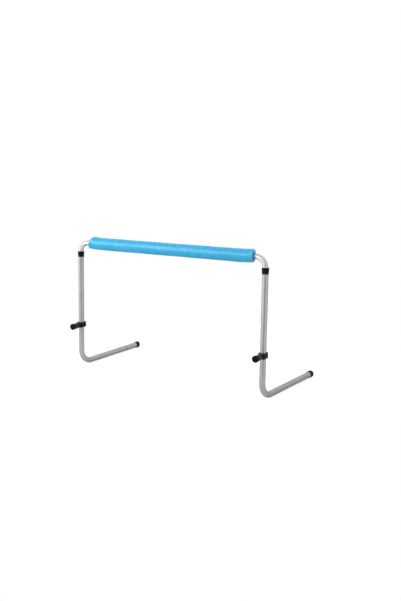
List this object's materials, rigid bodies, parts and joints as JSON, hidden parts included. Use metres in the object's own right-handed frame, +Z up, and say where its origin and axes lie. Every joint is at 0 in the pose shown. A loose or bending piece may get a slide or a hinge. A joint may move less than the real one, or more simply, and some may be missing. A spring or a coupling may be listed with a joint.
{
  "type": "speed hurdle",
  "caption": "Low training hurdle: foam-padded inverted-U crossbar whose stems telescope in L-shaped tubular legs and are locked by screw-knob clamps.",
  "frame": {"origin": "on the floor, midway between the legs and midway between the foremost knob's face and the ends of the feet", "axes": "+X along the crossbar from the left leg to the right, +Y from the knobs towards the ends of the feet, +Z up"},
  "size_m": [0.9994, 0.4678, 0.5967],
  "materials": {
    "bar_aluminium": "satin",
    "blue_foam": "matte",
    "leg_steel": "satin",
    "black_plastic": "satin",
    "gloss_black": "satin",
    "black_rubber": "matte",
    "zinc_steel": "satin",
    "plug_plastic": "matte"
  },
  "bodies": {
    "crossbar": {"crossbar_tube": "bar_aluminium", "foam_sleeve": "blue_foam", "left_stem_plug": "plug_plastic", "right_stem_plug": "plug_plastic"},
    "left_collar": {"left_collar": "black_plastic"},
    "left_leg": {"left_leg_tube": "leg_steel", "left_foot_cap": "black_rubber", "left_clamp_body": "black_plastic", "left_clamp_nut": "zinc_steel"},
    "left_pad": {"left_pressure_pad": "plug_plastic"},
    "left_knob": {"left_lock_knob": "gloss_black", "left_knob_cap": "black_plastic", "left_lock_screw": "zinc_steel"},
    "right_collar": {"right_collar": "black_plastic"},
    "right_leg": {"right_leg_tube": "leg_steel", "right_foot_cap": "black_rubber", "right_clamp_body": "black_plastic", "right_clamp_nut": "zinc_steel"},
    "right_pad": {"right_pressure_pad": "plug_plastic"},
    "right_knob": {"right_lock_knob": "gloss_black", "right_knob_cap": "black_plastic", "right_lock_screw": "zinc_steel"}
  },
  "joints": [
    {"name": "left_height", "type": "slide", "parent": "crossbar", "child": "left_collar", "axis": [0, -0.0436, -0.999], "range_m": [0, 0.08]},
    {"name": "left_swivel", "type": "hinge", "parent": "left_collar", "child": "left_leg", "pos_m": [-0.485, -0.15609, 0.52974], "axis": [0, 0.0436, 0.999], "continuous": true},
    {"name": "left_pad_travel", "type": "slide", "parent": "left_leg", "child": "left_pad", "axis": [0, -0.9992, -0.0401], "range_m": [0, 0.0025]},
    {"name": "left_knob_turn", "type": "hinge", "parent": "left_pad", "child": "left_knob", "pos_m": [-0.485, -0.21578, 0.1905], "axis": [0, -0.9992, -0.0401], "range_deg": [0, 720]},
    {"name": "right_height", "type": "slide", "parent": "crossbar", "child": "right_collar", "axis": [0, -0.0436, -0.999], "range_m": [0, 0.08]},
    {"name": "right_swivel", "type": "hinge", "parent": "right_collar", "child": "right_leg", "pos_m": [0.485, -0.15609, 0.52974], "axis": [0, 0.0436, 0.999], "continuous": true},
    {"name": "right_pad_travel", "type": "slide", "parent": "right_leg", "child": "right_pad", "axis": [0, -0.9992, -0.0401], "range_m": [0, 0.0025]},
    {"name": "right_knob_turn", "type": "hinge", "parent": "right_pad", "child": "right_knob", "pos_m": [0.485, -0.21616, 0.1818], "axis": [0, -0.9992, -0.0401], "range_deg": [0, 720]}
  ],
  "couplings": [
    {"joint": "left_knob_turn", "follows": "left_pad_travel", "rad_per_m": 5026.5},
    {"joint": "right_knob_turn", "follows": "right_pad_travel", "rad_per_m": 5026.5}
  ]
}
